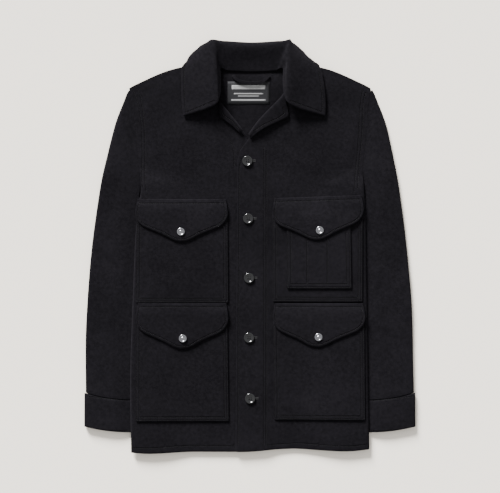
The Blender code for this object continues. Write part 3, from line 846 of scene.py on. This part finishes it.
class JACKET_OT_sleeves(bpy.types.Operator):
    """Sleeves and their cuff bands"""
    bl_idname = "jacket.sleeves"
    bl_label = "Sleeves"

    def execute(self, context):
        names = ("sleeve_right", "sleeve_left", "cuff_right", "cuff_left")
        for name in names:
            dress(name)
        sew("cuff_stitching", [CLOTH[name] for name in names])
        return {"FINISHED"}


class JACKET_OT_collar(bpy.types.Operator):
    """Collar: stand and leaf in one"""
    bl_idname = "jacket.collar"
    bl_label = "Collar"

    def execute(self, context):
        dress("collar")
        sew("collar_stitching", [CLOTH["collar"]])
        return {"FINISHED"}


class JACKET_OT_pockets(bpy.types.Operator):
    """Patch pockets, the pencil pocket and the flaps"""
    bl_idname = "jacket.pockets"
    bl_label = "Pockets"

    def execute(self, context):
        names = [name for name in LEVELS if "pocket" in name or "flap" in name]
        for name in names:
            dress(name)
        sew("pocket_stitching", [CLOTH[name] for name in names])
        return {"FINISHED"}


def apply_modifiers(piece):
    """Make the piece's modifiers part of its mesh."""
    mesh = bpy.data.meshes.new_from_object(piece.evaluated_get(bpy.context.evaluated_depsgraph_get()))
    piece.modifiers.clear()
    piece.data = mesh
    mesh.name = piece.name


def turn_profile(profile, facets):
    """A closed turned shape from a profile of radius and height, in millimetres."""
    work = bmesh.new()
    line = [work.verts.new((radius * MM, 0.0, height * MM)) for radius, height in profile]
    edges = [work.edges.new(pair) for pair in zip(line, line[1:])]
    bmesh.ops.spin(work, geom=line + edges, cent=(0.0, 0.0, 0.0), axis=(0.0, 0.0, 1.0), angle=2 * math.pi,
                   steps=facets, use_merge=True)
    bmesh.ops.remove_doubles(work, verts=work.verts, dist=MERGE)
    bmesh.ops.recalc_face_normals(work, faces=work.faces)
    return work


def bore(piece, spots, radius, depth):
    """Cut round holes through a piece at the given spots."""
    cutter = bmesh.new()
    for x, y in spots:
        bmesh.ops.create_cone(cutter, cap_ends=True, segments=16, radius1=radius, radius2=radius, depth=depth,
                              matrix=Matrix.Translation((x, y, 0.0)))
    tool = new_object("bore", cutter, piece.data.materials[0])
    cut = piece.modifiers.new("Bore", "BOOLEAN")
    cut.operation = "DIFFERENCE"
    cut.object = tool
    apply_modifiers(piece)
    bpy.data.objects.remove(tool, do_unlink=True)
    piece.data.set_sharp_from_angle(angle=math.radians(40.0))


def place_copy(model, name, spot):
    """A copy of a finished piece whose mesh stands at the given spot."""
    mesh = model.data.copy()
    mesh.name = name
    mesh.transform(Matrix.Translation(spot))
    piece = bpy.data.objects.new(name, mesh)
    bpy.context.scene.collection.objects.link(piece)
    return piece


def seat(cloth, x, y, radius):
    """The highest of the cloth's surface under a round piece, in metres."""
    tree = surface_of(CLOTH[cloth][0])
    spots = [(x, y)] + [(x + radius * math.cos(k * math.pi / 4), y + radius * math.sin(k * math.pi / 4))
                        for k in range(8)]
    return max(drop_on(tree, *spot)[0].z for spot in spots)


class JACKET_OT_buttons(bpy.types.Operator):
    """Five four-holed buttons with their thread, and their buttonholes"""
    bl_idname = "jacket.buttons"
    bl_label = "Buttons"

    def execute(self, context):
        look = context.scene.jacket_buttons
        thread = context.scene.jacket_thread
        model = new_object("button_model", turn_profile(BUTTON_PROFILE, look.facets), plastic_material())
        spread = look.hole_spread
        bore(model, [(sx * spread, sy * spread) for sx in (-1, 1) for sy in (-1, 1)], look.hole, 0.02)
        front = surface_of(CLOTH["front_left"][0])
        strands = []
        purls = []
        for name, (x, y) in BUTTONS.items():
            z = seat("front_left", x, y, 8.0)
            spot = Vector((x * MM, y * MM, z))
            button = place_copy(model, name + "_plastic", spot)
            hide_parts(name)
            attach(button, ROOT)
            for sx in (-1, 1):
                for strand in STRANDS:
                    at = spot + Vector((sx * spread + strand * MM, 0.0, STRAND_HEIGHT * MM))
                    strands.append(stitch_place(at, Vector((0, 0, 1)), (0.0, 1.0), 2.6 * spread,
                                                STRAND_THICKNESS))
            for k in range(PURLS):
                along = x + PURL_START + PURL_PITCH * k
                for side in (-1, 1):
                    found = drop_on(front, along, y + side * PURL_REACH)
                    purls.append(stitch_place(*found, PURL_SLANT, PURL_LENGTH, thread.thickness))
        bpy.data.objects.remove(model, do_unlink=True)
        for name, places in (("button_thread", strands), ("buttonhole_purls", purls)):
            piece = repeat(name, bead(), places, thread_material())
            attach(piece, ROOT)
        return {"FINISHED"}


class JACKET_OT_snaps(bpy.types.Operator):
    """Plated snap caps, one on each flap"""
    bl_idname = "jacket.snaps"
    bl_label = "Snaps"

    def execute(self, context):
        look = context.scene.jacket_buttons
        model = new_object("snap_model", turn_profile(SNAP_PROFILE, look.facets), nickel_material())
        for name, (x, y, cloth) in SNAPS.items():
            cap = place_copy(model, name + "_cap", Vector((x * MM, y * MM, seat(cloth, x, y, 6.0) - 0.0002)))
            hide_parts(name)
            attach(cap, ROOT)
        bpy.data.objects.remove(model, do_unlink=True)
        return {"FINISHED"}


class JACKET_OT_neck(bpy.types.Operator):
    """Hanger loop and neck label"""
    bl_idname = "jacket.neck"
    bl_label = "Loop and label"

    def execute(self, context):
        look = context.scene.jacket_label
        dress("hanger_loop")
        low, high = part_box("neck_label")
        middle = (low + high) / 2
        back = surface_of(CLOTH["back"][0])
        ground = label_material("label_ground", look.cloth, 900.0)
        label = self.patch("label_cloth", back, middle, (look.width, look.height), LABEL_RISE, ground)
        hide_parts("neck_label")
        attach(label, ROOT)
        pale = label_material("label_bars", look.bars, 1400.0)
        for name, (up, width, height) in LABEL_BARS.items():
            centre = middle + Vector((0.0, up * MM, 0.0))
            bar = self.patch(name, back, centre, (width * MM, height * MM), BAR_RISE, pale)
            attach(bar, ROOT)
        return {"FINISHED"}

    def patch(self, name, back, centre, size, rise_by, material):
        """A thin rectangle that follows the back's surface."""
        work = bmesh.new()
        bmesh.ops.create_grid(work, x_segments=16, y_segments=8, size=0.5)
        bmesh.ops.scale(work, vec=(size[0], size[1], 1.0), verts=work.verts)
        bmesh.ops.translate(work, vec=(centre.x, centre.y, 0.0), verts=work.verts)
        for vertex in work.verts:
            spot, _ = drop_on(back, vertex.co.x / MM, vertex.co.y / MM)
            vertex.co.z = spot.z + rise_by
        piece = new_object(name, work, material)
        wall = piece.modifiers.new("Wall", "SOLIDIFY")
        wall.thickness = LABEL_WALL
        wall.offset = -1.0
        apply_modifiers(piece)
        return piece


class JACKET_OT_stage(bpy.types.Operator):
    """Floor, light and camera"""
    bl_idname = "jacket.stage"
    bl_label = "Stage"

    def execute(self, context):
        look = context.scene.jacket_stage
        work = bmesh.new()
        bmesh.ops.create_grid(work, x_segments=1, y_segments=1, size=6.0)
        material, tree, shader, place = blank_material("pale_floor")
        grain = add_node(tree, "ShaderNodeTexNoise", Vector=place, Scale=600.0, Detail=2.0)
        relief = add_node(tree, "ShaderNodeBump", Height=grain.outputs["Fac"], Distance=0.00002)
        tree.links.new(relief.outputs["Normal"], shader.inputs["Normal"])
        shader.inputs["Base Color"].default_value = (*look.floor, 1.0)
        shader.inputs["Roughness"].default_value = 1.0
        shader.inputs["Specular IOR Level"].default_value = 0.0
        floor = new_object("floor", work, material, smooth=False)
        world = bpy.data.worlds.new("studio")
        world.use_nodes = True
        backdrop = world.node_tree.nodes["Background"]
        backdrop.inputs["Color"].default_value = (1.0, 1.0, 1.0, 1.0)
        backdrop.inputs["Strength"].default_value = look.fill
        context.scene.world = world
        sun = bpy.data.lights.new("key", "SUN")
        sun.energy = look.key
        sun.angle = look.key_spread
        lamp = bpy.data.objects.new("key", sun)
        lamp.rotation_euler = (math.pi / 2 - look.key_height, 0.0, math.pi + look.key_turn)
        context.scene.collection.objects.link(lamp)
        lens = bpy.data.cameras.new("camera")
        lens.sensor_width = 36.0
        lens.sensor_fit = "HORIZONTAL"
        lens.lens = lens.sensor_width * (look.camera_height - 0.01) / look.view_width
        lens.clip_end = 20.0
        camera = bpy.data.objects.new("camera", lens)
        camera.location = (0.0002, -0.0008, look.camera_height)
        context.scene.collection.objects.link(camera)
        context.scene.camera = camera
        return {"FINISHED"}


class JACKET_PT_sidebar(bpy.types.Panel):
    """Lists the jacket's operators"""
    bl_idname = "JACKET_PT_sidebar"
    bl_label = "Jacket"
    bl_space_type = "VIEW_3D"
    bl_region_type = "UI"
    bl_category = "Jacket"

    def draw(self, context):
        for operator in OPERATORS:
            self.layout.operator(operator.bl_idname)


LOOKS = {
    "jacket_wool": WoolLook,
    "jacket_thread": ThreadLook,
    "jacket_buttons": ButtonLook,
    "jacket_label": LabelLook,
    "jacket_stage": StageLook,
}
OPERATORS = (JACKET_OT_stage, JACKET_OT_panels, JACKET_OT_sleeves, JACKET_OT_collar, JACKET_OT_pockets,
             JACKET_OT_buttons, JACKET_OT_snaps, JACKET_OT_neck)


def register():
    for cls in (*LOOKS.values(), *OPERATORS, JACKET_PT_sidebar):
        bpy.utils.register_class(cls)
    for name, cls in LOOKS.items():
        setattr(bpy.types.Scene, name, PointerProperty(type=cls))


def unregister():
    for name in LOOKS:
        delattr(bpy.types.Scene, name)
    for cls in reversed((*LOOKS.values(), *OPERATORS, JACKET_PT_sidebar)):
        bpy.utils.unregister_class(cls)


def main():
    register()
    bpy.ops.jacket.stage()
    bpy.ops.jacket.panels()
    bpy.ops.jacket.sleeves()
    bpy.ops.jacket.collar()
    bpy.ops.jacket.pockets()
    bpy.ops.jacket.buttons()
    bpy.ops.jacket.snaps()
    bpy.ops.jacket.neck()


if __name__ == "__main__":
    main()
